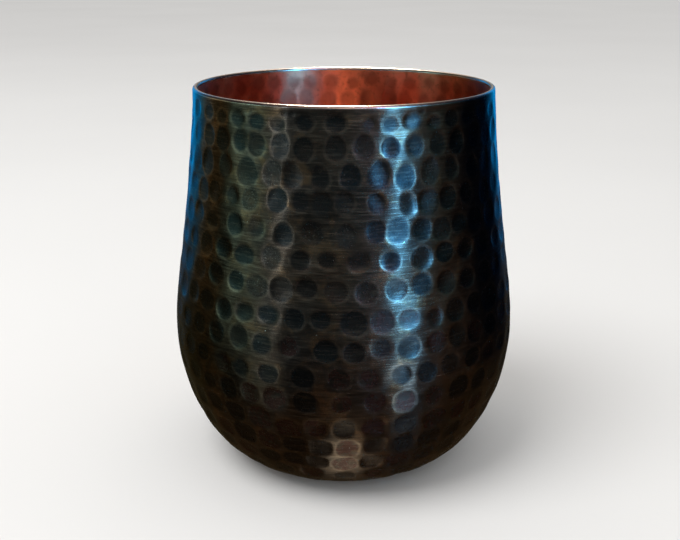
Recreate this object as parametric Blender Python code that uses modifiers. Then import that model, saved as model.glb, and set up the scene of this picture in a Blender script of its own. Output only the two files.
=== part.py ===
"""A hammered copper tumbler, in Blender 4.5. It has no handle and no moving pieces.

Three pieces of metal make it: the wall, raised from one sheet and open at both ends, the flat disc
that closes its bottom, and the ring of brazing filler that runs between the two.

The unit is the metre and +Z is up. The origin is the centre of the underside, and the Z axis is
the axis that every piece is turned about.
"""

import math

import bpy

MM = 0.001

# Driving dimensions. Radii are those of the outer surface.
HEIGHT = 94.0 * MM
RIM_RADIUS = 36.0 * MM
BELLY_RADIUS = 42.7 * MM
BELLY_HEIGHT = 34.4 * MM
FOOT_RADIUS = 20.0 * MM  # where the bowl-shaped bottom meets the flat underside
SHEET = 1.2 * MM  # thickness of the wall and of the base disc
OPENING_RADIUS = 17.5 * MM  # the wall's lower edge, turned in flat under the cup
FILLER_WIDTH = 1.2 * MM
FIT_GAP = 0.3 * MM  # between pieces that touch

# The outline's two curves, each by how far it runs straight on from its ends.
NECK_FLARE = 0.073  # sideways for each unit down, at the rim
NECK_REACH = 34.0 * MM
BELLY_REACH_UP = 12.0 * MM
BELLY_REACH_DOWN = 13.0 * MM
FOOT_REACH = 16.0 * MM

EDGE_ROUNDING = 0.4 * MM
FILLER_SINK = 0.15 * MM  # how far the filler lies below the faces that it joins

NECK_POINTS = 9
BOWL_POINTS = 11
TURN_STEPS = 64
EDGE_STEPS = 2
MERGE_DISTANCE = 0.01 * MM
SHARP_ANGLE = math.radians(40)


def clear_scene():
    for obj in list(bpy.data.objects):
        bpy.data.objects.remove(obj, do_unlink=True)


def parts_collection():
    collection = bpy.data.collections.new("hammered_copper_tumbler")
    bpy.context.scene.collection.children.link(collection)
    return collection


def metal(name, colour, roughness):
    material = bpy.data.materials.new(name)
    material.use_nodes = True
    shader = material.node_tree.nodes["Principled BSDF"]
    shader.inputs["Base Color"].default_value = (*colour, 1.0)
    shader.inputs["Metallic"].default_value = 1.0
    shader.inputs["Roughness"].default_value = roughness
    material.diffuse_color = (*colour, 1.0)
    return material


def cubic(start, start_pull, end_pull, end, count):
    """Points on a cubic Bezier curve, without its start."""
    points = []
    for step in range(1, count + 1):
        t = step / count
        weights = ((1 - t) ** 3, 3 * (1 - t) ** 2 * t, 3 * (1 - t) * t**2, t**3)
        corners = (start, start_pull, end_pull, end)
        points.append(
            tuple(sum(w * c[axis] for w, c in zip(weights, corners)) for axis in (0, 1))
        )
    return points


def wall_outline():
    """The wall's outer side as (radius, height), from the rim down to the edge of the opening."""
    rim = (RIM_RADIUS, HEIGHT)
    neck = (RIM_RADIUS + NECK_FLARE * NECK_REACH, HEIGHT - NECK_REACH)
    above_belly = (BELLY_RADIUS, BELLY_HEIGHT + BELLY_REACH_UP)
    belly = (BELLY_RADIUS, BELLY_HEIGHT)
    below_belly = (BELLY_RADIUS, BELLY_HEIGHT - BELLY_REACH_DOWN)
    beside_foot = (FOOT_RADIUS + FOOT_REACH, 0.0)
    foot = (FOOT_RADIUS, 0.0)
    return [
        rim,
        *cubic(rim, neck, above_belly, belly, NECK_POINTS),
        *cubic(belly, below_belly, beside_foot, foot, BOWL_POINTS),
        (OPENING_RADIUS, 0.0),
    ]


def ring_outline(inner, outer, low, high):
    """A rectangle of (radius, height) points that runs down its outer side."""
    return [(inner, high), (outer, high), (outer, low), (inner, low)]


def turned(name, outline, closed):
    """An object whose profile, in the XZ plane, is turned about the Z axis."""
    edges = [(i, i + 1) for i in range(len(outline) - 1)]
    if closed:
        edges.append((len(outline) - 1, 0))
    mesh = bpy.data.meshes.new(name)
    mesh.from_pydata([(radius, 0.0, height) for radius, height in outline], edges, [])
    obj = bpy.data.objects.new(name, mesh)
    screw = obj.modifiers.new("turn", "SCREW")
    screw.axis = "Z"
    screw.angle = 2 * math.pi
    screw.steps = TURN_STEPS
    screw.render_steps = TURN_STEPS
    screw.use_merge_vertices = True
    screw.merge_threshold = MERGE_DISTANCE
    return obj


def add_thickness(obj, thickness):
    """Thickens an open surface inwards, so that its outer side stays where it is."""
    solidify = obj.modifiers.new("sheet", "SOLIDIFY")
    solidify.thickness = thickness
    solidify.offset = -1.0
    solidify.use_even_offset = True


def round_edges(obj, width):
    bevel = obj.modifiers.new("rounding", "BEVEL")
    bevel.width = width
    bevel.segments = EDGE_STEPS
    bevel.limit_method = "ANGLE"
    bevel.angle_limit = SHARP_ANGLE


def finish(obj, material, collection):
    """Makes the modifiers part of the mesh, then shades it smooth between its real corners."""
    collection.objects.link(obj)
    graph = bpy.context.evaluated_depsgraph_get()
    mesh = bpy.data.meshes.new_from_object(obj.evaluated_get(graph))
    obj.modifiers.clear()
    outline = obj.data
    obj.data = mesh
    bpy.data.meshes.remove(outline)
    mesh.name = obj.name
    mesh.shade_smooth()
    mesh.set_sharp_from_angle(angle=SHARP_ANGLE)
    mesh.materials.clear()
    mesh.materials.append(material)
    return obj


def hammered_wall(collection):
    wall = turned("hammered_wall", wall_outline(), closed=False)
    add_thickness(wall, SHEET)
    round_edges(wall, EDGE_ROUNDING)
    return finish(wall, metal("dark_copper", (0.16, 0.10, 0.075), 0.34), collection)


def filler_ring(collection):
    """The brazing filler, which lies a little below the faces of the wall and of the disc."""
    outer = OPENING_RADIUS - FIT_GAP
    outline = ring_outline(outer - FILLER_WIDTH, outer, FILLER_SINK, SHEET - FILLER_SINK)
    ring = turned("brazed_seam", outline, closed=True)
    round_edges(ring, EDGE_ROUNDING / 2)
    return finish(ring, metal("brazing_filler", (0.62, 0.50, 0.30), 0.40), collection)


def base_disc(collection):
    radius = OPENING_RADIUS - FILLER_WIDTH - 2 * FIT_GAP
    disc = turned("base_disc", ring_outline(0.0, radius, 0.0, SHEET), closed=False)
    round_edges(disc, EDGE_ROUNDING / 2)
    return finish(disc, metal("bright_copper", (0.78, 0.34, 0.20), 0.36), collection)


def main():
    clear_scene()
    collection = parts_collection()
    hammered_wall(collection)
    filler_ring(collection)
    base_disc(collection)


main()
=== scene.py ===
"""A hammered copper tumbler without a handle, standing on a pale floor.

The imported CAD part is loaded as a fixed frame. Three finished pieces stand for its three nodes: the
hammered wall, the brazed seam in the bottom and the base disc.

Lengths are in metres, except where a name ends in _mm or a line says mm. "Across" is the angle round
the cup, 0 at the front (-Y) and growing towards +X. "Down" is the distance along the outside of the
wall, in mm, measured from the top edge.
"""

import math
from collections import namedtuple

import bpy
import numpy as np
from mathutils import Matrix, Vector


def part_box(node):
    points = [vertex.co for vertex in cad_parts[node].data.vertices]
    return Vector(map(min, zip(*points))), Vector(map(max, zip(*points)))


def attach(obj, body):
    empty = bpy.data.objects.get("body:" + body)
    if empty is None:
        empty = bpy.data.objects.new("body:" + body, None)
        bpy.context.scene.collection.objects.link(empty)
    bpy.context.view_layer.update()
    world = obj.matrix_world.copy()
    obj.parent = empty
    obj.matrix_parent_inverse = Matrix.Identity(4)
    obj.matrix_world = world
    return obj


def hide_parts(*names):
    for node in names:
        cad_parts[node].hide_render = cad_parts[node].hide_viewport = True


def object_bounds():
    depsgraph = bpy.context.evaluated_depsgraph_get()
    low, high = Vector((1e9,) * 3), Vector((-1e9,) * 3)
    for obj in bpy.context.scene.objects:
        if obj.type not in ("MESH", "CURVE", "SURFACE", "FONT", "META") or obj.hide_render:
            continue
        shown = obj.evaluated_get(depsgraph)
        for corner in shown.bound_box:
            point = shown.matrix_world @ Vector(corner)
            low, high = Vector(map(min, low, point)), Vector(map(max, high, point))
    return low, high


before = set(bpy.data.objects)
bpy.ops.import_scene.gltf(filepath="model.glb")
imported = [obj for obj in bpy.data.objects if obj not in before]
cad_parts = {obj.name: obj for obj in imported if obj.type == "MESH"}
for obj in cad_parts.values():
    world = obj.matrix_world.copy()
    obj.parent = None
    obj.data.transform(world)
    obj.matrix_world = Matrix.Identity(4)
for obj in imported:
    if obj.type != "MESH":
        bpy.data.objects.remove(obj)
CAD_LOW, CAD_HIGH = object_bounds()
_, WALL_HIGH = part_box("hammered_wall")
SEAM_LOW, SEAM_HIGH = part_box("brazed_seam")
DISC_LOW, DISC_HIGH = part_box("base_disc")

MM = 0.001
SEED = 7

# The wall's outline in mm, which repeats the CAD part's.
HEIGHT_MM = WALL_HIGH.z / MM
BELLY_RADIUS_MM = WALL_HIGH.x / MM
RIM_RADIUS_MM = 36.0
BELLY_HEIGHT_MM = 34.4
FOOT_RADIUS_MM = 20.0
OPENING_RADIUS_MM = 17.5
SHEET_MM = 1.2
NECK_FLARE = 0.073
NECK_REACH_MM = 34.0
BELLY_REACH_UP_MM = 12.0
BELLY_REACH_DOWN_MM = 13.0
FOOT_REACH_MM = 16.0
OUTLINE_STEPS = 500  # points on each of its two curves

# The wall's mesh.
COLUMNS = 480
OUTSIDE_STEP_MM = 0.53
INSIDE_STEP_MM = 1.15
RIM_STEPS = 10
FLAT_STEPS = 6  # rows of points on the flat lip under the cup
CORNER_STEPS = 3  # and on each rounded corner of the opening
EDGE_RADIUS_MM = 0.3
RIM_SHIFT_MM = 0.03  # outwards, so that the rounded edge meets the flaring wall
INSET_MM = 0.06  # how far the outside lies under the CAD wall's, to leave room for its waves

# The stretches down the wall over which marks and waves fade in below the rim, and fade out where the
# wall turns flat.
OUTSIDE_FADE_IN = (0.7, 1.6)
OUTSIDE_FADE_OUT = (101.0, 104.5)
INSIDE_FADE_IN = (1.2, 3.0)
INSIDE_FADE_OUT = (100.0, 104.0)

# The slow waves that hand raising leaves in the wall.
WAVES = 30
WAVE_TURNS = (2, 34)
WAVE_RATE = (0.04, 0.75)  # in radians for each mm down
WAVE_SIZE_MM = 0.0090
WAVE_SIZE_RANGE = (0.5, 1.4)

# How the hammer marks are pressed in.
FLATNESS = 1.55  # 1 makes a mark flat across, and more makes it hollow
EDGE_STEP_MM = 0.020  # the sharp drop at a mark's edge
EDGE_SHARE = 0.2  # the part of the way to the middle that the drop takes
TILT = 0.024  # the spread of the marks' slopes
INSIDE_SHARE = 0.6  # how much of a mark shows through the sheet
INSIDE_PEAK = 1.3  # there a mark is a soft bump, higher in its middle
INSIDE_FALL = 1.5
REACH_MM = 2.2  # how far past its edge a mark counts as near
FAR_MM = 9.0  # the distance that is given where no mark is near
PLAIN_TONE = 0.5
LIGHT_TAP_DEPTH_MM = 0.04
LIGHT_TAP_TONE = 0.8

# How much the marks differ, as standard deviations.
ACROSS_SPREAD = 0.085  # of the pitch, where a mark isn't listed
DOWN_SPREAD_MM = 0.32
SIZE_SPREAD = 0.065
WIDE_SPREAD = 0.04
TALL_SPREAD = 0.05
TAPER_SPREAD = 0.05
TURN_SPREAD = 0.14
DEPTH_SPREAD = 0.22

# One ring of hammer marks: how far down it lies, the marks' width and height, the exponent of their
# outline (2 is an ellipse, more is squarer), how much wider they are at the bottom, their pitch in
# degrees, and the marks that are listed one by one, by their angle across. The others follow at the pitch.
Ring = namedtuple("Ring", "down wide tall square taper pitch angles")
RINGS = (
    Ring(3.8, 4.5, 3.9, 2.0, 0.0, 9.2,
         (-55.5, -46.9, -39.0, -30.3, -22.5, -12.9, -2.6, 8.2, 15.4, 23.5, 32.0, 39.6, 48.6)),
    Ring(8.7, 4.9, 5.7, 2.0, 0.10, 9.2,
         (-54.6, -46.0, -37.4, -30.6, -21.4, -13.3, -2.6, 6.6, 15.5, 24.2, 33.0, 41.8, 51.7)),
    Ring(14.4, 4.9, 6.0, 2.0, 0.14, 9.2,
         (-54.8, -44.2, -34.0, -23.9, -17.0, -7.7, 2.2, 11.5, 20.5, 29.7, 38.9, 49.6)),
    Ring(20.5, 5.0, 5.6, 2.1, 0.05, 9.2,
         (-57.0, -49.4, -40.0, -32.4, -22.0, -13.8, -7.1, 0.3, 10.4, 20.9, 28.9, 36.8, 45.9, 57.0)),
    Ring(26.8, 5.2, 5.6, 2.1, 0.06, 9.2,
         (-59.2, -49.6, -38.2, -29.5, -19.4, -10.0, 1.0, 10.3, 17.4, 26.0, 33.5, 41.4, 50.0)),
    Ring(32.8, 5.4, 5.2, 2.1, 0.0, 9.3,
         (-52.0, -42.8, -33.6, -23.4, -13.6, -5.2, 4.4, 14.8, 25.4, 34.2, 43.4, 53.0)),
    Ring(39.1, 5.4, 5.2, 2.1, -0.04, 9.2,
         (-55.0, -45.6, -36.1, -27.8, -19.4, -11.3, -2.3, 7.0, 16.5, 25.0, 34.3, 43.4, 53.0)),
    Ring(45.8, 5.6, 5.4, 2.1, 0.0, 9.2,
         (-58.0, -49.0, -40.3, -32.0, -23.7, -14.8, -6.8, 3.2, 11.7, 20.2, 28.9, 37.0, 45.9, 54.6)),
    Ring(52.2, 5.4, 5.3, 2.2, 0.0, 9.2,
         (-52.6, -43.2, -33.8, -25.4, -16.4, -5.2, 3.2, 11.3, 19.8, 29.3, 37.4, 45.4, 54.0)),
    Ring(58.6, 5.4, 5.2, 2.3, -0.03, 9.2,
         (-58.4, -49.8, -40.5, -32.6, -22.9, -12.1, -1.3, 7.6, 17.3, 25.8, 34.2, 43.8, 52.6)),
    Ring(64.8, 5.7, 5.6, 2.4, 0.0, 9.5,
         (-56.4, -47.3, -38.6, -29.7, -21.2, -11.7, -0.6, 9.6, 18.8, 28.9, 38.6, 48.0)),
    Ring(71.3, 6.1, 5.8, 2.8, 0.0, 9.6,
         (-46.6, -37.2, -27.4, -17.6, -8.8, 0.2, 9.6, 19.8, 30.2, 40.0)),
    Ring(77.4, 6.0, 5.7, 3.0, 0.0, 9.8,
         (-44.8, -35.2, -25.4, -16.4, -7.8, 1.2, 10.9, 20.2, 30.0, 40.0)),
    Ring(83.2, 6.0, 5.7, 3.0, -0.05, 10.6,
         (-37.4, -27.4, -18.0, -9.4, 0.4, 10.0, 19.8, 30.2)),
    Ring(89.0, 5.7, 5.4, 2.8, -0.08, 11.8, (-24.0, -12.4, 0.6, 12.8, 24.4)),
    Ring(94.5, 5.5, 5.2, 2.6, -0.10, 13.4, (-13.0, 0.0, 13.6)),
    Ring(99.8, 5.0, 4.6, 2.4, -0.10, 16.4, (0.0,)),
)

# Light taps just under the rim, each as degrees across, mm down and diameter in mm.
LIGHT_TAPS = (
    (-20.2, 1.7, 2.1),
    (-17.2, 2.0, 1.9),
    (27.0, 1.6, 1.8),
    (104.0, 1.8, 2.0),
    (171.0, 1.7, 2.2),
    (-128.0, 1.9, 1.8),
)

# The brazed seam, a bead with a rounded square section.
SEAM_COLUMNS = 288
SEAM_STEPS = 20
SEAM_OVERLAP_MM = 0.02  # past the fit gap on each side
SEAM_SIDE_EXPONENT = 0.45
SEAM_TOP_EXPONENT = 0.75
LUMPS = 20
LUMP_TURNS = (3, 60)
LUMP_SIZE_MM = 0.012
LUMP_SIZE_RANGE = (0.2, 1.0)
LUMPS_BELOW = 0.3  # how much of them shows on the underside

# The base disc, which was turned on a lathe.
DISC_COLUMNS = 192
DISC_STEP_MM = 0.35
DISC_EDGE_MM = 0.2
DISC_EDGE_STEPS = 3
DISC_INSET_MM = 0.02  # how far its faces lie inside the CAD disc's
DISH_MM = 0.05
GROOVE_DEPTH_MM = 0.012
GROOVE_PITCH_MM = 1.4
CENTRE_MARK_DEPTH_MM = 0.10
CENTRE_MARK_RADIUS_MM = 0.7
CENTRE_DIP_MM = 0.02

# One hammer mark: its place and the wall's radius there, its size and outline, its turn about its middle,
# its slopes across and down, its depth, and a tone from 0 to 1 that tells the material how dark it is.
Mark = namedtuple(
    "Mark", "across down radius half_wide half_tall square taper turn lean rise depth tone"
)
# Some rows of the wall's section: the plain surface, how far it is pressed in, and what the material
# reads there.
Stretch = namedtuple("Stretch", "points normals depth edge tone down")

# The camera stands in front of the cup and looks slightly down on it.
CAMERA_DISTANCE = 0.234
CAMERA_HEIGHT = 0.12387
CAMERA_PITCH_DEG = 18.23
CAMERA_YAW_DEG = 0.226
CAMERA_LENS_MM = 51.04
SENSOR_MM = 36.0

# The key lamp lights only the floor, and the back lamp only the metal.
KEY_PLACE = (-0.45, -0.35, 0.95)
KEY_TARGET = (0.0, 0.0, 0.04)
KEY_WIDTH = 0.7
KEY_WATTS = 7.5
BACK_PLACE = (-0.06, 0.62, 1.12)
BACK_TARGET = (0.0, 0.0, 0.09)
BACK_WIDTH = 0.24
BACK_WATTS = 34.0
BACK_COLOUR = (1.0, 0.99, 0.86)

FLOOR_HALF_WIDTH = 8.0
FLOOR_GAP = 0.00002  # keeps the floor just clear of the cup's underside


# ---------------------------------------------------------------------------------------------------
# The wall's outline


def cubic(start, start_pull, end_pull, end, steps):
    """Points of a cubic Bezier curve, with both ends."""
    t = np.linspace(0.0, 1.0, steps)[:, None]
    ends = (1 - t) ** 3 * np.array(start) + t**3 * np.array(end)
    return ends + 3 * (1 - t) ** 2 * t * np.array(start_pull) + 3 * (1 - t) * t**2 * np.array(end_pull)


class Outline:
    """The outside of the wall in mm, as radius, height and outward normal by distance down."""

    def __init__(self):
        neck = cubic(
            (RIM_RADIUS_MM, HEIGHT_MM),
            (RIM_RADIUS_MM + NECK_FLARE * NECK_REACH_MM, HEIGHT_MM - NECK_REACH_MM),
            (BELLY_RADIUS_MM, BELLY_HEIGHT_MM + BELLY_REACH_UP_MM),
            (BELLY_RADIUS_MM, BELLY_HEIGHT_MM),
            OUTLINE_STEPS,
        )
        bowl = cubic(
            (BELLY_RADIUS_MM, BELLY_HEIGHT_MM),
            (BELLY_RADIUS_MM, BELLY_HEIGHT_MM - BELLY_REACH_DOWN_MM),
            (FOOT_RADIUS_MM + FOOT_REACH_MM, 0.0),
            (FOOT_RADIUS_MM, 0.0),
            OUTLINE_STEPS,
        )
        self.points = np.vstack([neck, bowl[1:]])
        lengths = np.hypot(*np.diff(self.points, axis=0).T)
        self.down = np.concatenate([[0.0], np.cumsum(lengths)])
        along = np.gradient(self.points, self.down, axis=0)
        along /= np.hypot(*along.T)[:, None]
        self.normals = np.column_stack([-along[:, 1], along[:, 0]])
        self.length = float(self.down[-1])

    def at(self, down):
        """(radius, height) and the outward normal, for each distance down."""
        point = np.column_stack([np.interp(down, self.down, self.points[:, k]) for k in (0, 1)])
        normal = np.column_stack([np.interp(down, self.down, self.normals[:, k]) for k in (0, 1)])
        return point, normal / np.hypot(*normal.T)[:, None]


# ---------------------------------------------------------------------------------------------------
# The hammer marks


def ring_across(ring, rng):
    """The angles of all of a ring's marks: those listed, then the rest round the back."""
    angles = list(ring.angles)
    gap = 360.0 - (angles[-1] - angles[0])
    count = max(1, round(gap / ring.pitch) - 1)
    step = gap / (count + 1)
    start = angles[-1]
    for k in range(count):
        angles.append(start + step * (k + 1) + rng.normal(0.0, ACROSS_SPREAD * step))
    return angles


def hammer_mark(outline, ring, angle, rng):
    """One of a ring's marks, a little different from the others."""
    down = ring.down + rng.normal(0.0, DOWN_SPREAD_MM)
    point, _ = outline.at(np.array([down]))
    radius = float(point[0, 0])
    size = 1.0 + rng.normal(0.0, SIZE_SPREAD)
    half_wide = ring.wide / 2 * size * (1.0 + rng.normal(0.0, WIDE_SPREAD))
    half_tall = ring.tall / 2 * size * (1.0 + rng.normal(0.0, TALL_SPREAD))
    return Mark(
        across=math.radians(angle),
        down=down,
        radius=radius,
        half_wide=half_wide,
        half_tall=half_tall,
        square=ring.square,
        taper=ring.taper + rng.normal(0.0, TAPER_SPREAD),
        turn=rng.normal(0.0, TURN_SPREAD),
        lean=rng.normal(0.0, TILT),
        rise=rng.normal(0.0, TILT),
        depth=FLATNESS * (1.0 + rng.normal(0.0, DEPTH_SPREAD)) * half_wide**2 / (2 * radius),
        tone=rng.random(),
    )


def light_tap(angle, down, size):
    """A small round mark near the rim."""
    return Mark(
        across=math.radians(angle),
        down=down,
        radius=RIM_RADIUS_MM,
        half_wide=size / 2,
        half_tall=size / 2,
        square=2.0,
        taper=0.0,
        turn=0.0,
        lean=0.0,
        rise=0.0,
        depth=LIGHT_TAP_DEPTH_MM,
        tone=LIGHT_TAP_TONE,
    )


def hammer_marks(outline):
    """Every mark on the wall."""
    rng = np.random.default_rng(SEED)
    marks = []
    for ring in RINGS:
        for angle in ring_across(ring, rng):
            marks.append(hammer_mark(outline, ring, angle, rng))
    for tap in LIGHT_TAPS:
        marks.append(light_tap(*tap))
    return marks


def press(across, down, marks, through_sheet):
    """What the marks do on a grid of rows (down) by columns (across), all in mm.

    Gives the depth, the distance to the nearest mark's edge (below zero inside it, and back to zero on
    the ridge between two marks that overlap), and the nearest mark's tone.
    """
    shape = (len(down), len(across))
    depth = np.zeros(shape)
    nearest = np.full(shape, FAR_MM)
    second = np.full(shape, FAR_MM)
    tone = np.full(shape, PLAIN_TONE)
    for mark in marks:
        reach = max(mark.half_wide, mark.half_tall) + REACH_MM
        rows = np.flatnonzero(np.abs(down - mark.down) < reach)
        turned = (across - mark.across + math.pi) % (2 * math.pi) - math.pi
        columns = np.flatnonzero(np.abs(turned) * mark.radius < reach)
        if not len(rows) or not len(columns):
            continue
        window = np.ix_(rows, columns)
        u0 = turned[columns][None, :] * mark.radius
        v0 = (down[rows] - mark.down)[:, None]
        u = u0 * math.cos(mark.turn) + v0 * math.sin(mark.turn)
        v = v0 * math.cos(mark.turn) - u0 * math.sin(mark.turn)
        width = mark.half_wide * (1.0 + mark.taper * np.clip(v / mark.half_tall, -1.0, 1.0))
        sideways = (np.abs(u) / width) ** mark.square
        upright = (np.abs(v) / mark.half_tall) ** mark.square
        rho = (sideways + upright) ** (1 / mark.square)  # 0 in the mark's middle and 1 on its edge
        inside = np.clip(1.0 - rho**2, 0.0, 1.0)
        if through_sheet:
            pressed = INSIDE_SHARE * mark.depth * INSIDE_PEAK * inside**INSIDE_FALL
        else:
            tilt = (mark.lean * u + mark.rise * v) * np.clip(1.0 - rho**4, 0.0, 1.0)
            step = EDGE_STEP_MM * np.clip((1.0 - rho) / EDGE_SHARE, 0.0, 1.0)
            pressed = mark.depth * inside + tilt + step
        depth[window] = np.maximum(depth[window], pressed)
        distance = (rho - 1.0) * min(mark.half_wide, mark.half_tall)
        closer = distance < nearest[window]
        second[window] = np.where(closer, nearest[window], np.minimum(second[window], distance))
        tone[window] = np.where(closer, mark.tone, tone[window])
        nearest[window] = np.minimum(nearest[window], distance)
    edge = np.maximum(nearest, -(second - nearest) / 2)
    return depth, edge, tone


def unevenness(across, down):
    """The wall's slow waves, in mm."""
    rng = np.random.default_rng(SEED + 1)
    total = np.zeros((len(down), len(across)))
    for _ in range(WAVES):
        turns = rng.integers(*WAVE_TURNS)
        rate = rng.uniform(*WAVE_RATE)
        shift = rng.uniform(0.0, 2 * math.pi)
        size = WAVE_SIZE_MM * rng.uniform(*WAVE_SIZE_RANGE)
        total += size * np.sin(turns * across[None, :] + rate * down[:, None] + shift)
    return total


# ---------------------------------------------------------------------------------------------------
# Meshes


def set_attribute(mesh, name, values):
    attribute = mesh.attributes.new(name, "FLOAT", "POINT")
    attribute.data.foreach_set("value", np.ascontiguousarray(values, np.float32).ravel())


def new_mesh(name, vertices, faces, materials, slots=None):
    mesh = bpy.data.meshes.new(name)
    mesh.from_pydata(vertices.tolist(), [], faces)
    for material in materials:
        mesh.materials.append(material)
    if slots is not None:
        mesh.polygons.foreach_set("material_index", slots)
    mesh.shade_smooth()
    mesh.update()
    return mesh


def add_object(name, mesh):
    obj = bpy.data.objects.new(name, mesh)
    bpy.context.scene.collection.objects.link(obj)
    return obj


def ring_faces(rows, columns, closed):
    """Quads between each row and the next, facing outwards where the rows run down."""
    faces = []
    last = rows if closed else rows - 1
    for i in range(last):
        here = i * columns
        below = (i + 1) % rows * columns
        for j in range(columns):
            right = (j + 1) % columns
            faces.append((here + j, below + j, below + right, here + right))
    return faces


def spun(radius, height, across):
    """Vertices in metres from radii and heights in mm, each given by row and column."""
    x = radius * np.sin(across)[None, :]
    y = -radius * np.cos(across)[None, :]
    return np.stack([x, y, np.broadcast_to(height, x.shape)], axis=-1).reshape(-1, 3) * MM


def arc(centre, radius, start_deg, end_deg, steps):
    """Points of an arc in (radius, height), without its two ends."""
    angles = np.radians(np.linspace(start_deg, end_deg, steps + 2)[1:-1])
    return np.column_stack([centre[0] + radius * np.cos(angles), centre[1] + radius * np.sin(angles)])


def smooth(values, low, high):
    t = np.clip((values - low) / (high - low), 0.0, 1.0)
    return t * t * (3 - 2 * t)


def faded(down, fade_in, fade_out):
    """A column that is 1 where the wall is hammered and 0 at its two ends."""
    return (smooth(down, *fade_in) * (1 - smooth(down, *fade_out)))[:, None]


def hammered_outside(outline, across, marks):
    down = np.arange(SHEET_MM / 2, outline.length, OUTSIDE_STEP_MM)
    points, normals = outline.at(down)
    depth, edge, tone = press(across, down, marks, through_sheet=False)
    depth = depth + INSET_MM + unevenness(across, down)
    depth = depth * faded(down, OUTSIDE_FADE_IN, OUTSIDE_FADE_OUT)
    return Stretch(points, normals, depth, edge, tone, down)


def hammered_inside(outline, across, marks):
    down = np.arange(outline.length, SHEET_MM / 2, -INSIDE_STEP_MM)
    points, normals = outline.at(down)
    depth, edge, tone = press(across, down, marks, through_sheet=True)
    depth = depth + INSIDE_SHARE * unevenness(across, down)
    depth = depth * faded(down, INSIDE_FADE_IN, INSIDE_FADE_OUT)
    return Stretch(points - SHEET_MM * normals, normals, depth, edge, tone, down)


def plain_stretch(points, down):
    """Rows without marks."""
    flat = np.zeros((len(points), COLUMNS))
    no_normals = np.zeros_like(points)
    down_rows = np.full(len(points), down)
    return Stretch(points, no_normals, flat, flat + FAR_MM, flat + PLAIN_TONE, down_rows)


def opening_profile():
    """The lip under the cup: in along its underside, round the opening's edge, and out again on top."""
    inner = OPENING_RADIUS_MM + EDGE_RADIUS_MM
    corner_top = SHEET_MM - EDGE_RADIUS_MM
    flat_radii = np.linspace(FOOT_RADIUS_MM, inner, FLAT_STEPS)
    underside = np.column_stack([flat_radii, np.zeros(FLAT_STEPS)])
    corner_low = arc((inner, EDGE_RADIUS_MM), EDGE_RADIUS_MM, 270, 180, CORNER_STEPS)
    edge = np.array([[OPENING_RADIUS_MM, EDGE_RADIUS_MM], [OPENING_RADIUS_MM, corner_top]])
    corner_high = arc((inner, corner_top), EDGE_RADIUS_MM, 180, 90, CORNER_STEPS)
    top = np.column_stack([flat_radii[::-1][:-1], np.full(FLAT_STEPS - 1, SHEET_MM)])
    return np.vstack([underside, corner_low, edge, corner_high, top])


def wall_mesh(outline, materials):
    """The wall as one closed skin: down the outside, through the opening, up the inside, over the rim."""
    across = np.arange(COLUMNS) * 2 * math.pi / COLUMNS
    marks = hammer_marks(outline)
    half_sheet = SHEET_MM / 2
    rim_centre = (RIM_RADIUS_MM - half_sheet + RIM_SHIFT_MM, HEIGHT_MM - half_sheet)
    outside = hammered_outside(outline, across, marks)
    opening = plain_stretch(opening_profile(), outline.length)
    inside = hammered_inside(outline, across, marks)
    rim = plain_stretch(arc(rim_centre, half_sheet, 180, 0, RIM_STEPS), 0.0)
    section = Stretch(*(np.concatenate(rows) for rows in zip(outside, opening, inside, rim)))

    radius = section.points[:, :1] - section.depth * section.normals[:, :1]
    height = section.points[:, 1:] - section.depth * section.normals[:, 1:]
    vertices = spun(radius, height, across)
    rows = len(section.down)
    faces = ring_faces(rows, COLUMNS, closed=True)
    row_slots = np.zeros(rows, np.int32)
    row_slots[len(outside.down) + FLAT_STEPS + CORNER_STEPS :] = 1
    row_slots[rows - len(rim.down) - 1 :] = 2
    mesh = new_mesh("hammered_wall", vertices, faces, materials, np.repeat(row_slots, COLUMNS))
    set_attribute(mesh, "mark_edge", section.edge)
    set_attribute(mesh, "mark_tone", section.tone)
    set_attribute(mesh, "down", np.repeat(section.down, COLUMNS))
    return mesh


def flattened(wave, exponent):
    """The wave with broader peaks, the more so the smaller the exponent is."""
    return np.abs(wave) ** exponent * np.sign(wave)


def seam_lumps(across, angles):
    """The bead's unevenness in mm, by the angle in its section and the angle across."""
    rng = np.random.default_rng(SEED + 2)
    total = np.zeros((len(angles), len(across)))
    for _ in range(LUMPS):
        turns = rng.integers(*LUMP_TURNS)
        shift = rng.uniform(0.0, 2 * math.pi)
        size = rng.uniform(*LUMP_SIZE_RANGE)
        twist = rng.integers(0, 2)
        total += size * np.sin(turns * across[None, :] + twist * angles[:, None] + shift)
    return LUMP_SIZE_MM * total


def seam_mesh(material):
    """The bead of brazing filler, a little lumpy, reaching across the fit gaps on both sides of it."""
    across = np.arange(SEAM_COLUMNS) * 2 * math.pi / SEAM_COLUMNS
    angles = np.linspace(0.0, -2 * math.pi, SEAM_STEPS, endpoint=False)
    inner = DISC_HIGH.x / MM
    middle = (OPENING_RADIUS_MM + inner) / 2
    half_wide = (OPENING_RADIUS_MM - inner) / 2 + SEAM_OVERLAP_MM
    centre = (SEAM_LOW.z + SEAM_HIGH.z) / 2 / MM
    half_tall = (SEAM_HIGH.z - SEAM_LOW.z) / 2 / MM
    bulge = flattened(np.cos(angles), SEAM_SIDE_EXPONENT)[:, None]
    crown = flattened(np.sin(angles), SEAM_TOP_EXPONENT)[:, None]
    upper = np.clip(crown, 0.0, 1.0)
    lumps = seam_lumps(across, angles) * (LUMPS_BELOW + upper) * np.abs(crown)
    radius = middle + bulge * half_wide
    height = centre + crown * half_tall + lumps
    faces = ring_faces(SEAM_STEPS, SEAM_COLUMNS, closed=True)
    return new_mesh("brazed_seam", spun(radius, height, across), faces, [material])


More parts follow.
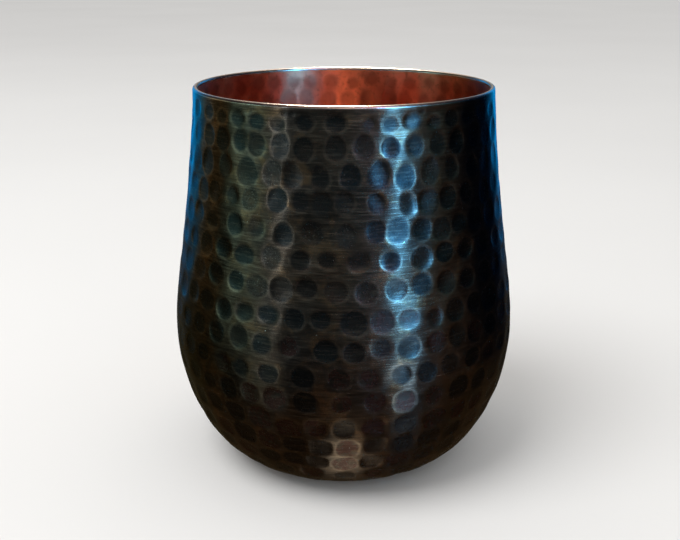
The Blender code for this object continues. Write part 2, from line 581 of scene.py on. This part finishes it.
def disc_profile():
    """Half the base disc's section in mm, from the middle of its top to the middle of its underside."""
    outer = DISC_HIGH.x / MM
    low = DISC_LOW.z / MM + DISC_INSET_MM
    high = DISC_HIGH.z / MM - DISC_INSET_MM
    radii = np.arange(DISC_STEP_MM, outer - DISC_EDGE_MM, DISC_STEP_MM)
    groove = GROOVE_DEPTH_MM * np.sin(radii * 2 * math.pi / GROOVE_PITCH_MM)
    centre_mark = CENTRE_MARK_DEPTH_MM * np.exp(-((radii / CENTRE_MARK_RADIUS_MM) ** 2))
    dish = DISH_MM * np.cos(radii / outer * math.pi / 2)
    top = np.column_stack([radii, high - dish + groove - centre_mark])
    bottom = np.column_stack([radii[::-1], low + (dish + groove + centre_mark)[::-1]])
    edge_radius = outer - DISC_EDGE_MM
    upper_edge = arc((edge_radius, high - DISC_EDGE_MM), DISC_EDGE_MM, 90, 0, DISC_EDGE_STEPS)
    lower_edge = arc((edge_radius, low + DISC_EDGE_MM), DISC_EDGE_MM, 0, -90, DISC_EDGE_STEPS)
    return np.vstack([top, upper_edge, lower_edge, bottom])


def disc_mesh(material):
    across = np.arange(DISC_COLUMNS) * 2 * math.pi / DISC_COLUMNS
    profile = disc_profile()
    radius = np.repeat(profile[:, :1], DISC_COLUMNS, axis=1)
    middle_high = (0.0, 0.0, (profile[0, 1] - CENTRE_DIP_MM) * MM)
    middle_low = (0.0, 0.0, (profile[-1, 1] + CENTRE_DIP_MM) * MM)
    vertices = np.vstack([spun(radius, profile[:, 1:], across), [middle_high], [middle_low]])
    faces = ring_faces(len(profile), DISC_COLUMNS, closed=False)
    top = len(vertices) - 2
    last = (len(profile) - 1) * DISC_COLUMNS
    for j in range(DISC_COLUMNS):
        right = (j + 1) % DISC_COLUMNS
        faces.append((top, j, right))
        faces.append((top + 1, last + right, last + j))
    return new_mesh("base_disc", vertices, faces, [material])


# ---------------------------------------------------------------------------------------------------
# Node graphs


class Graph:
    """Short ways to add nodes. Every method gives back an output socket."""

    def __init__(self, tree):
        self.tree = tree
        tree.nodes.clear()

    def node(self, kind, **settings):
        node = self.tree.nodes.new(kind)
        for name, value in settings.items():
            setattr(node, name, value)
        return node

    def feed(self, socket, value):
        if isinstance(value, bpy.types.NodeSocket):
            self.tree.links.new(value, socket)
        elif isinstance(value, tuple) and socket.type == "RGBA" and len(value) == 3:
            socket.default_value = (*value, 1.0)
        else:
            socket.default_value = value

    def math(self, operation, *values):
        node = self.node("ShaderNodeMath", operation=operation)
        for socket, value in zip(node.inputs, values):
            self.feed(socket, value)
        return node.outputs[0]

    def times(self, a, b):
        return self.math("MULTIPLY", a, b)

    def plus(self, a, b):
        return self.math("ADD", a, b)

    def minus(self, a, b):
        return self.math("SUBTRACT", a, b)

    def between(self, value, low, high, out_low=0.0, out_high=1.0):
        """Goes from out_low to out_high as value goes from low to high, eased at both ends."""
        node = self.node("ShaderNodeMapRange", interpolation_type="SMOOTHSTEP")
        if low > high:
            low, high, out_low, out_high = high, low, out_high, out_low
        for socket, given in zip(node.inputs, (value, low, high, out_low, out_high)):
            self.feed(socket, given)
        return node.outputs[0]

    def mix(self, factor, a, b):
        """Colour a where factor is 0 and b where it is 1. The node's sockets share names, hence numbers."""
        node = self.node("ShaderNodeMix", data_type="RGBA")
        self.feed(node.inputs[0], factor)
        self.feed(node.inputs[6], a)
        self.feed(node.inputs[7], b)
        return node.outputs[2]

    def mix_number(self, factor, a, b):
        node = self.node("ShaderNodeMix", data_type="FLOAT")
        self.feed(node.inputs[0], factor)
        self.feed(node.inputs[2], a)
        self.feed(node.inputs[3], b)
        return node.outputs[0]

    def attribute(self, name):
        return self.node("ShaderNodeAttribute", attribute_name=name).outputs["Fac"]

    def place_mm(self):
        """The place on the object, in mm."""
        coordinates = self.node("ShaderNodeTexCoord").outputs["Object"]
        return self.stretch(coordinates, (1000.0, 1000.0, 1000.0))

    def stretch(self, vector, amounts):
        node = self.node("ShaderNodeVectorMath", operation="MULTIPLY")
        self.feed(node.inputs[0], vector)
        node.inputs[1].default_value = amounts
        return node.outputs[0]

    def distance(self, vector, place):
        node = self.node("ShaderNodeVectorMath", operation="DISTANCE")
        self.feed(node.inputs[0], vector)
        node.inputs[1].default_value = place
        return node.outputs["Value"]

    def split(self, vector):
        node = self.node("ShaderNodeSeparateXYZ")
        self.feed(node.inputs[0], vector)
        return node.outputs[0], node.outputs[1], node.outputs[2]

    def join(self, x, y, z):
        node = self.node("ShaderNodeCombineXYZ")
        for socket, value in zip(node.inputs, (x, y, z)):
            self.feed(socket, value)
        return node.outputs[0]

    def noise(self, vector, scale, detail=2.0, roughness=0.5, warp=0.0):
        node = self.node("ShaderNodeTexNoise")
        self.feed(node.inputs["Vector"], vector)
        node.inputs["Scale"].default_value = scale
        node.inputs["Detail"].default_value = detail
        node.inputs["Roughness"].default_value = roughness
        node.inputs["Distortion"].default_value = warp
        return node.outputs["Fac"]

    def ramp(self, factor, stops):
        node = self.node("ShaderNodeValToRGB")
        self.feed(node.inputs[0], factor)
        elements = node.color_ramp.elements
        while len(elements) < len(stops):
            elements.new(1.0)
        for element, (position, colour) in zip(elements, sorted(stops)):
            element.position = position
            element.color = (*colour, 1.0)
        return node.outputs[0]

    def bump(self, height_mm):
        node = self.node("ShaderNodeBump")
        node.inputs["Strength"].default_value = 1.0
        node.inputs["Distance"].default_value = MM
        self.feed(node.inputs["Height"], height_mm)
        return node.outputs[0]


def metal_surface(graph, colour, roughness, normal, anisotropy=0.0, turn=0.0):
    """Ends the graph in a metal shader."""
    shader = graph.node("ShaderNodeBsdfPrincipled")
    graph.feed(shader.inputs["Base Color"], colour)
    shader.inputs["Metallic"].default_value = 1.0
    graph.feed(shader.inputs["Roughness"], roughness)
    graph.feed(shader.inputs["Normal"], normal)
    if anisotropy:
        shader.inputs["Anisotropic"].default_value = anisotropy
        shader.inputs["Anisotropic Rotation"].default_value = turn
        tangent = graph.node("ShaderNodeTangent", direction_type="RADIAL", axis="Z")
        graph.feed(shader.inputs["Tangent"], tangent.outputs[0])
    output = graph.node("ShaderNodeOutputMaterial")
    graph.feed(output.inputs["Surface"], shader.outputs[0])


def new_material(name, shown):
    material = bpy.data.materials.new(name)
    material.use_nodes = True
    material.diffuse_color = (*shown, 1.0)
    return material, Graph(material.node_tree)


def brushed_lines(graph, place, down, fineness):
    """Fine lines that run round the cup, from 0 to 1."""
    x, y, _ = graph.split(place)
    vector = graph.join(graph.times(x, 0.05), graph.times(y, 0.05), graph.times(down, fineness))
    return graph.noise(vector, 1.0, detail=3.0, roughness=0.65)


def mark_masks(graph, place, tone):
    """Where a hammer mark is and where its inner rim is worn bright, both from 0 to 1."""
    ragged = graph.noise(place, 0.8, detail=5.0, roughness=0.65)
    edge = graph.plus(graph.attribute("mark_edge"), graph.times(graph.plus(ragged, -0.5), 0.55))
    softness = graph.plus(graph.times(graph.math("FRACT", graph.times(tone, 7.3)), 0.75), 0.30)
    in_mark = graph.between(graph.math("DIVIDE", edge, softness), 0.35, -1.0)
    inner_rim = graph.times(graph.between(edge, -0.55, -0.10), graph.between(edge, 0.40, 0.05))
    broken = graph.between(graph.noise(place, 0.20, detail=3.0), 0.44, 0.62)
    return in_mark, graph.times(inner_rim, broken)


def patina(graph, place, down, tone, in_mark, small_blotches):
    """Brown metal between the marks, with bare patches, and dark or reddened metal in them."""
    blotches = graph.noise(place, 0.07, detail=3.0, roughness=0.6, warp=0.4)
    web = graph.mix(graph.between(blotches, 0.36, 0.66), (0.160, 0.120, 0.098), (0.275, 0.170, 0.115))
    bare = graph.between(graph.noise(place, 0.15, detail=4.0, roughness=0.6, warp=0.5), 0.52, 0.68)
    web = graph.mix(graph.times(bare, 0.80), web, (0.54, 0.29, 0.15))
    darkening = graph.between(tone, 0.0, 1.0, 1.0, 0.68)
    cool_dark = graph.mix(darkening, web, (0.040, 0.052, 0.057))
    warm_dark = graph.mix(darkening, web, (0.084, 0.052, 0.040))
    low = graph.between(down, 42.0, 88.0)
    warmth = graph.plus(graph.times(low, 0.75), graph.times(graph.between(blotches, 0.45, 0.7), 0.35))
    dark = graph.mix(warmth, cool_dark, warm_dark)
    reddened = graph.times(graph.between(tone, 0.62, 0.68), graph.between(small_blotches, 0.38, 0.58))
    reddened = graph.times(reddened, graph.between(down, 36.0, 52.0))
    dark = graph.mix(graph.times(reddened, 0.65), dark, (0.19, 0.064, 0.052))
    return graph.mix(in_mark, web, dark)


def brushed(graph, colour, in_mark, lines, broad_lines, scratches):
    """Adds the dark and light lines of the brushing, which show less in the marks."""
    line_tone = graph.plus(graph.times(lines, 0.9), graph.times(broad_lines, 0.5))
    lined = graph.times(graph.between(line_tone, 0.92, 0.46), graph.mix_number(in_mark, 0.5, 0.28))
    light = graph.times(graph.between(scratches, 0.53, 0.61), graph.mix_number(in_mark, 0.42, 0.20))
    dark = graph.times(graph.between(scratches, 0.46, 0.38), graph.mix_number(in_mark, 0.40, 0.22))
    colour = graph.mix(lined, colour, (0.05, 0.038, 0.030))
    colour = graph.mix(light, colour, (0.46, 0.34, 0.26))
    return graph.mix(dark, colour, (0.04, 0.032, 0.027))


def worn(graph, colour, place, down, tone, in_mark, inner_rim, small_blotches):
    """Adds grime, bright inner rims, grit in a few marks, dust, and a redder band under the rim."""
    grime = graph.times(graph.between(small_blotches, 0.42, 0.68), 0.35)
    grit = graph.times(graph.between(tone, 0.90, 0.92), graph.between(graph.noise(place, 5.0), 0.62, 0.70))
    grit = graph.times(graph.times(grit, in_mark), 0.7)
    dust = graph.between(graph.noise(place, 1.9, detail=1.0), 0.80, 0.84)
    near_rim = graph.times(graph.between(down, 1.7, 0.7), 0.15)
    colour = graph.mix(grime, colour, (0.055, 0.045, 0.040))
    colour = graph.mix(graph.times(inner_rim, 0.30), colour, (0.46, 0.33, 0.25))
    colour = graph.mix(grit, colour, (0.60, 0.52, 0.44))
    colour = graph.mix(dust, colour, (0.95, 0.92, 0.88))
    return graph.mix(near_rim, colour, (0.60, 0.36, 0.26))


def dark_copper():
    """The outside: brushed brown copper, with darker and duller metal in the hammer marks."""
    material, graph = new_material("dark_copper", (0.16, 0.10, 0.075))
    place = graph.place_mm()
    tone = graph.attribute("mark_tone")
    down = graph.attribute("down")
    in_mark, inner_rim = mark_masks(graph, place, tone)
    lines = brushed_lines(graph, place, down, 2.4)
    broad_lines = brushed_lines(graph, place, down, 0.9)
    scratches = brushed_lines(graph, graph.stretch(place, (4.5, 4.5, 1.0)), down, 3.5)
    small_blotches = graph.noise(place, 0.45, detail=5.0, roughness=0.65)
    pits = graph.noise(place, 2.6, detail=3.0, roughness=0.7)

    colour = patina(graph, place, down, tone, in_mark, small_blotches)
    colour = brushed(graph, colour, in_mark, lines, broad_lines, scratches)
    colour = worn(graph, colour, place, down, tone, in_mark, inner_rim, small_blotches)
    web_rough = graph.plus(graph.plus(graph.times(lines, 0.10), graph.times(scratches, 0.10)), 0.14)
    mark_rough = graph.plus(graph.times(small_blotches, 0.16), 0.19)
    roughness = graph.mix_number(in_mark, web_rough, mark_rough)
    line_height = graph.times(graph.mix_number(in_mark, 0.019, 0.007), lines)
    rim_height = graph.times(inner_rim, 0.006)
    pit_height = graph.times(pits, graph.mix_number(in_mark, 0.004, 0.012))
    normal = graph.bump(graph.plus(graph.plus(line_height, rim_height), pit_height))
    metal_surface(graph, colour, roughness, normal, anisotropy=0.75, turn=0.25)
    return material


def bright_copper_inside():
    """The inside: satin reddish copper, brushed round, tarnished more in the marks."""
    material, graph = new_material("bright_copper_inside", (0.78, 0.34, 0.20))
    place = graph.place_mm()
    down = graph.attribute("down")
    edge = graph.attribute("mark_edge")
    lines = brushed_lines(graph, place, down, 1.9)
    stain = graph.noise(place, 0.06, detail=4.0, roughness=0.62, warp=0.6)
    specks = graph.noise(place, 0.9, detail=3.0, roughness=0.6)
    colour = graph.mix(graph.between(stain, 0.38, 0.62), (0.92, 0.42, 0.25), (0.66, 0.26, 0.15))
    colour = graph.mix(graph.times(graph.between(edge, 0.5, -0.9), 0.55), colour, (0.30, 0.11, 0.07))
    colour = graph.mix(graph.times(graph.between(specks, 0.50, 0.72), 0.50), colour, (0.36, 0.15, 0.09))
    roughness = graph.plus(graph.plus(graph.times(lines, 0.06), graph.times(stain, 0.10)), 0.27)
    height = graph.plus(graph.times(lines, 0.0015), graph.times(specks, 0.004))
    metal_surface(graph, colour, roughness, graph.bump(height), anisotropy=0.8, turn=0.25)
    return material


def polished_rim():
    """The top edge: copper that was filed round and polished, with small nicks."""
    material, graph = new_material("polished_rim", (0.88, 0.55, 0.44))
    place = graph.place_mm()
    wear = graph.noise(place, 0.22, detail=3.0)
    nicks = graph.noise(place, 1.8, detail=2.0)
    colour = graph.mix(graph.between(wear, 0.35, 0.7), (0.66, 0.55, 0.49), (0.46, 0.33, 0.27))
    colour = graph.mix(graph.times(graph.between(nicks, 0.62, 0.74), 0.6), colour, (0.35, 0.19, 0.13))
    roughness = graph.plus(graph.times(wear, 0.16), 0.17)
    height = graph.times(graph.between(nicks, 0.55, 0.75), -0.012)
    metal_surface(graph, colour, roughness, graph.bump(height))
    return material


def turned_disc():
    """The base disc: bright on top, darker and scuffed on the underside, with turning rings."""
    material, graph = new_material("bright_copper_disc", (0.78, 0.34, 0.20))
    place = graph.place_mm()
    x, y, z = graph.split(place)
    radius = graph.math("SQRT", graph.plus(graph.times(x, x), graph.times(y, y)))
    along_rings = graph.join(graph.times(x, 0.03), graph.times(y, 0.03), graph.times(radius, 2.2))
    rings = graph.noise(along_rings, 1.0, detail=3.0)
    stain = graph.noise(place, 0.11, detail=4.0, warp=0.5)
    scuffs = graph.noise(graph.stretch(place, (0.35, 2.6, 1.0)), 0.8, detail=3.0)
    top = graph.mix(graph.between(stain, 0.35, 0.68), (0.88, 0.44, 0.28), (0.66, 0.27, 0.16))
    below = graph.mix(graph.between(scuffs, 0.45, 0.66), (0.30, 0.16, 0.10), (0.62, 0.36, 0.25))
    colour = graph.mix(graph.between(z, 0.45, 0.75), below, top)
    colour = graph.mix(graph.times(graph.between(rings, 0.4, 0.62), 0.3), colour, (0.40, 0.18, 0.11))
    roughness = graph.plus(graph.plus(graph.times(rings, 0.16), graph.times(stain, 0.14)), 0.12)
    normal = graph.bump(graph.times(rings, 0.012))
    metal_surface(graph, colour, roughness, normal, anisotropy=0.4, turn=0.25)
    return material


def brazing_filler():
    """The seam: yellower than copper, with dull patches and small bubbles."""
    material, graph = new_material("brazing_filler", (0.62, 0.50, 0.30))
    place = graph.place_mm()
    patches = graph.noise(place, 0.35, detail=4.0, warp=0.4)
    bubbles = graph.noise(place, 2.6, detail=2.0)
    colour = graph.mix(graph.between(patches, 0.38, 0.66), (0.72, 0.58, 0.34), (0.46, 0.31, 0.17))
    colour = graph.mix(graph.times(graph.between(bubbles, 0.62, 0.72), 0.7), colour, (0.16, 0.10, 0.06))
    roughness = graph.plus(graph.times(patches, 0.30), 0.24)
    height = graph.plus(graph.times(bubbles, 0.02), graph.times(patches, 0.03))
    metal_surface(graph, colour, roughness, graph.bump(height))
    return material


# ---------------------------------------------------------------------------------------------------
# The floor, the light and the camera


def pale_floor():
    material, graph = new_material("pale_floor", (0.80, 0.79, 0.77))
    place = graph.place_mm()
    cloud = graph.noise(place, 0.004, detail=3.0)
    grain = graph.noise(place, 0.9, detail=3.0)
    colour = graph.mix(cloud, (0.72, 0.71, 0.695), (0.78, 0.77, 0.755))
    shader = graph.node("ShaderNodeBsdfPrincipled")
    graph.feed(shader.inputs["Base Color"], colour)
    graph.feed(shader.inputs["Roughness"], graph.plus(graph.times(grain, 0.15), 0.5))
    shader.inputs["Specular IOR Level"].default_value = 0.0
    graph.feed(shader.inputs["Normal"], graph.bump(graph.times(grain, 0.02)))
    output = graph.node("ShaderNodeOutputMaterial")
    graph.feed(output.inputs["Surface"], shader.outputs[0])
    return material


def add_floor():
    """A large level floor, which the metal doesn't mirror and which casts no shadow."""
    half = FLOOR_HALF_WIDTH
    corners = np.array([(-half, -half, 0.0), (half, -half, 0.0), (half, half, 0.0), (-half, half, 0.0)])
    floor = add_object("floor", new_mesh("floor", corners, [(0, 1, 2, 3)], [pale_floor()]))
    floor.location.z = CAD_LOW.z - FLOOR_GAP
    floor.visible_glossy = False
    floor.visible_shadow = False


# The surroundings that only the metal mirrors, as colours by compass angle (0 at the front, growing
# towards +X): high up, a little above the horizon, close to it, and below it.
HIGH = (
    (-180, (0.03, 0.03, 0.04)),
    (-80, (0.01, 0.005, 0.01)),
    (-52, (0.06, 0.04, 0.04)),
    (-28, (0.24, 0.15, 0.13)),
    (-14, (0.60, 0.45, 0.38)),
    (-4, (1.10, 0.85, 0.70)),
    (9, (1.10, 0.85, 0.70)),
    (19, (1.00, 0.80, 0.85)),
    (27, (3.10, 2.20, 3.50)),
    (33, (3.10, 2.20, 3.50)),
    (41, (0.16, 0.12, 0.20)),
    (70, (0.02, 0.01, 0.02)),
    (180, (0.03, 0.03, 0.04)),
)
ABOVE = (
    (-180, (0.08, 0.11, 0.13)),
    (-168, (0.05, 0.13, 0.20)),
    (-156, (0.00, 0.50, 1.30)),
    (-142, (0.00, 0.24, 0.60)),
    (-126, (0.03, 0.13, 0.20)),
    (-104, (0.66, 0.54, 0.25)),
    (-93, (0.06, 0.10, 0.075)),
    (-83, (0.54, 0.98, 0.85)),
    (-76, (0.84, 1.46, 1.30)),
    (-67, (0.56, 1.00, 0.95)),
    (-57, (0.16, 0.29, 0.31)),
    (-50, (0.20, 0.33, 0.38)),
    (-48, (2.50, 3.30, 3.70)),
    (-45, (2.50, 3.30, 3.70)),
    (-42, (0.19, 0.31, 0.36)),
    (-26, (0.125, 0.195, 0.215)),
    (-8, (0.065, 0.145, 0.175)),
    (10, (0.080, 0.175, 0.22)),
    (29, (0.11, 0.27, 0.44)),
    (34, (0.30, 1.40, 3.20)),
    (36, (2.80, 12.6, 25.0)),
    (41, (2.80, 12.6, 25.0)),
    (45, (0.35, 1.40, 2.90)),
    (56, (0.12, 0.28, 0.35)),
    (72, (0.045, 0.12, 0.14)),
    (85, (0.012, 0.045, 0.065)),
    (100, (0.00, 0.006, 0.02)),
    (132, (0.00, 0.005, 0.02)),
    (143, (0.00, 0.10, 0.28)),
    (155, (0.00, 0.54, 1.42)),
    (168, (0.05, 0.13, 0.20)),
    (180, (0.08, 0.11, 0.13)),
)
LEVEL = (
    (-180, (0.00, 0.09, 0.15)),
    (-158, (0.00, 0.12, 0.20)),
    (-142, (0.00, 0.08, 0.13)),
    (-130, (0.01, 0.045, 0.055)),
    (-118, (0.035, 0.045, 0.035)),
    (-104, (0.10, 0.095, 0.05)),
    (-93, (0.06, 0.10, 0.075)),
    (-84, (0.30, 0.58, 0.50)),
    (-76, (0.62, 1.16, 1.05)),
    (-67, (0.32, 0.60, 0.56)),
    (-57, (0.12, 0.24, 0.25)),
    (-50, (0.10, 0.19, 0.22)),
    (-47, (0.40, 0.60, 0.70)),
    (-45, (0.40, 0.60, 0.70)),
    (-42, (0.08, 0.15, 0.18)),
    (-26, (0.075, 0.130, 0.150)),
    (-10, (0.036, 0.090, 0.112)),
    (4, (0.042, 0.115, 0.15)),
    (20, (0.09, 0.20, 0.28)),
    (30, (0.13, 0.34, 0.56)),
    (34, (0.16, 0.48, 0.90)),
    (38, (0.40, 1.50, 3.00)),
    (41, (0.40, 1.50, 3.00)),
    (46, (0.17, 0.45, 0.80)),
    (56, (0.14, 0.29, 0.37)),
    (72, (0.055, 0.115, 0.13)),
    (86, (0.012, 0.03, 0.045)),
    (102, (0.00, 0.006, 0.02)),
    (146, (0.00, 0.002, 0.008)),
    (154, (0.00, 0.12, 0.20)),
    (180, (0.00, 0.09, 0.15)),
)
BELOW = (
    (-180, (0.050, 0.040, 0.022)),
    (-148, (0.050, 0.042, 0.020)),
    (-132, (0.030, 0.024, 0.008)),
    (-105, (0.028, 0.022, 0.008)),
    (-86, (0.018, 0.017, 0.010)),
    (-72, (0.026, 0.030, 0.024)),
    (-60, (0.150, 0.215, 0.200)),
    (-48, (0.180, 0.235, 0.235)),
    (-38, (0.027, 0.034, 0.036)),
    (-14, (0.024, 0.026, 0.028)),
    (8, (0.028, 0.032, 0.034)),
    (24, (0.075, 0.080, 0.085)),
    (33, (0.13, 0.18, 0.23)),
    (37, (0.18, 0.29, 0.40)),
    (43, (0.18, 0.29, 0.40)),
    (49, (0.16, 0.19, 0.22)),
    (60, (0.090, 0.066, 0.052)),
    (84, (0.042, 0.033, 0.028)),
    (102, (0.004, 0.006, 0.010)),
    (136, (0.006, 0.006, 0.008)),
    (148, (0.035, 0.028, 0.016)),
    (180, (0.050, 0.040, 0.022)),
)
BRIGHTEST = 26.0  # above every value in the tables, which a colour ramp holds as shares of it
GROUND = (0.043, 0.029, 0.014)
GROUND_PATCH = (0.78, 0.80, 0.68)  # a patch of light on the ground, almost straight down
GROUND_PATCH_DIRECTION = (0.0, -0.11, -1.0)
GROUND_PATCH_STRETCH = (1.0, 0.42, 1.0)  # makes the patch longer from front to back
LOW_GLOW = (1.60, 3.00, 4.50)  # a small glow low on the right
LOW_GLOW_DIRECTION = (0.59, -0.665, -0.455)
CEILING = (0.12, 0.11, 0.11)
STUDIO = (0.80, 0.80, 0.80)  # what lights the floor, and what the camera sees beyond it
HORIZON = (0.590, 0.585, 0.571)  # the far floor's own colour, so that its edge doesn't show


def by_compass(graph, turn, stops):
    """The colour of a table at a turn, which is 0 at -180 degrees and 1 at 180."""
    shares = [((angle + 180) / 360, tuple(c / BRIGHTEST for c in colour)) for angle, colour in stops]
    return graph.stretch(graph.ramp(turn, shares), (BRIGHTEST, BRIGHTEST, BRIGHTEST))


def mirrored_colour(graph, direction):
    """What the metal mirrors: the four bands, each giving way to the next, then the ends and spots."""
    x, y, z = graph.split(direction)
    compass = graph.math("ARCTAN2", x, graph.times(y, -1.0))
    turn = graph.plus(graph.times(compass, 0.5 / math.pi), 0.5)
    above_from = graph.between(y, 0.25, 0.60, 0.0, -0.26)  # behind the cup, the band reaches lower
    high_from = graph.between(x, -0.35, -0.65, 0.0, -0.20)  # and so does this one on the left
    ground_to = graph.between(x, 0.2, 0.7, 0.0, 0.14)  # on the right, the ground reaches higher
    above_share = graph.between(graph.minus(z, above_from), 0.03, 0.12)
    high_share = graph.between(graph.minus(z, high_from), 0.32, 0.46)
    ground_share = graph.between(graph.minus(z, ground_to), -0.44, -0.72)
    off_glow = graph.distance(direction, LOW_GLOW_DIRECTION)
    off_patch = graph.distance(graph.stretch(direction, GROUND_PATCH_STRETCH), GROUND_PATCH_DIRECTION)

    level = by_compass(graph, turn, LEVEL)
    below = by_compass(graph, turn, BELOW)
    colour = graph.mix(graph.between(z, 0.01, -0.08), level, below)
    colour = graph.mix(above_share, colour, by_compass(graph, turn, ABOVE))
    colour = graph.mix(high_share, colour, by_compass(graph, turn, HIGH))
    colour = graph.mix(ground_share, colour, GROUND)
    colour = graph.mix(graph.between(off_glow, 0.15, 0.05), colour, LOW_GLOW)
    colour = graph.mix(graph.between(off_patch, 0.25, 0.05), colour, GROUND_PATCH)
    return graph.mix(graph.between(z, 0.70, 0.92), colour, CEILING)


def add_surroundings():
    """A plain, even studio for the floor, and the patterned surroundings that only the metal mirrors."""
    world = bpy.data.worlds.new("studio")
    bpy.context.scene.world = world
    world.use_nodes = True
    world.cycles.sampling_method = "NONE"
    graph = Graph(world.node_tree)
    direction = graph.node("ShaderNodeTexCoord").outputs["Generated"]
    _, _, z = graph.split(direction)
    studio = graph.mix(graph.between(z, 0.0, 0.35), HORIZON, STUDIO)
    mirrored = mirrored_colour(graph, direction)
    rays = graph.node("ShaderNodeLightPath")
    background = graph.node("ShaderNodeBackground")
    graph.feed(background.inputs["Color"], graph.mix(rays.outputs["Is Glossy Ray"], studio, mirrored))
    background.inputs["Strength"].default_value = 1.0
    output = graph.node("ShaderNodeOutputWorld")
    graph.feed(output.inputs["Surface"], background.outputs[0])


def add_soft_light(name, place, target, width, power):
    light = bpy.data.lights.new(name, "AREA")
    light.shape = "DISK"
    light.size = width
    light.energy = power
    lamp = add_object(name, light)
    lamp.location = place
    lamp.rotation_mode = "QUATERNION"
    lamp.rotation_quaternion = (Vector(target) - Vector(place)).to_track_quat("-Z", "Y")
    return lamp


def add_lamps():
    key = add_soft_light("key", KEY_PLACE, KEY_TARGET, KEY_WIDTH, KEY_WATTS)
    key.visible_glossy = False
    back_lamp = add_soft_light("back_lamp", BACK_PLACE, BACK_TARGET, BACK_WIDTH, BACK_WATTS)
    back_lamp.data.color = BACK_COLOUR
    back_lamp.visible_diffuse = False


def add_camera():
    camera = bpy.data.cameras.new("camera")
    camera.sensor_width = SENSOR_MM
    camera.lens = CAMERA_LENS_MM
    camera.clip_start = 0.01
    camera.clip_end = 60.0
    obj = add_object("camera", camera)
    obj.location = (0.0, -CAMERA_DISTANCE, CAMERA_HEIGHT)
    obj.rotation_euler = (math.radians(90 - CAMERA_PITCH_DEG), 0.0, math.radians(CAMERA_YAW_DEG))
    bpy.context.scene.camera = obj


def add_cup():
    wall_materials = [dark_copper(), bright_copper_inside(), polished_rim()]
    wall = add_object("wall", wall_mesh(Outline(), wall_materials))
    seam = add_object("seam", seam_mesh(brazing_filler()))
    disc = add_object("disc", disc_mesh(turned_disc()))
    pieces = (
        (wall, "hammered_wall", "dark_copper"),
        (seam, "brazed_seam", "brazing_filler"),
        (disc, "base_disc", "bright_copper"),
    )
    for piece, node, slot in pieces:
        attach(piece, "root")
        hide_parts(node)


def main():
    bpy.context.scene.view_settings.view_transform = "Standard"
    add_cup()
    add_floor()
    add_surroundings()
    add_lamps()
    add_camera()


main()
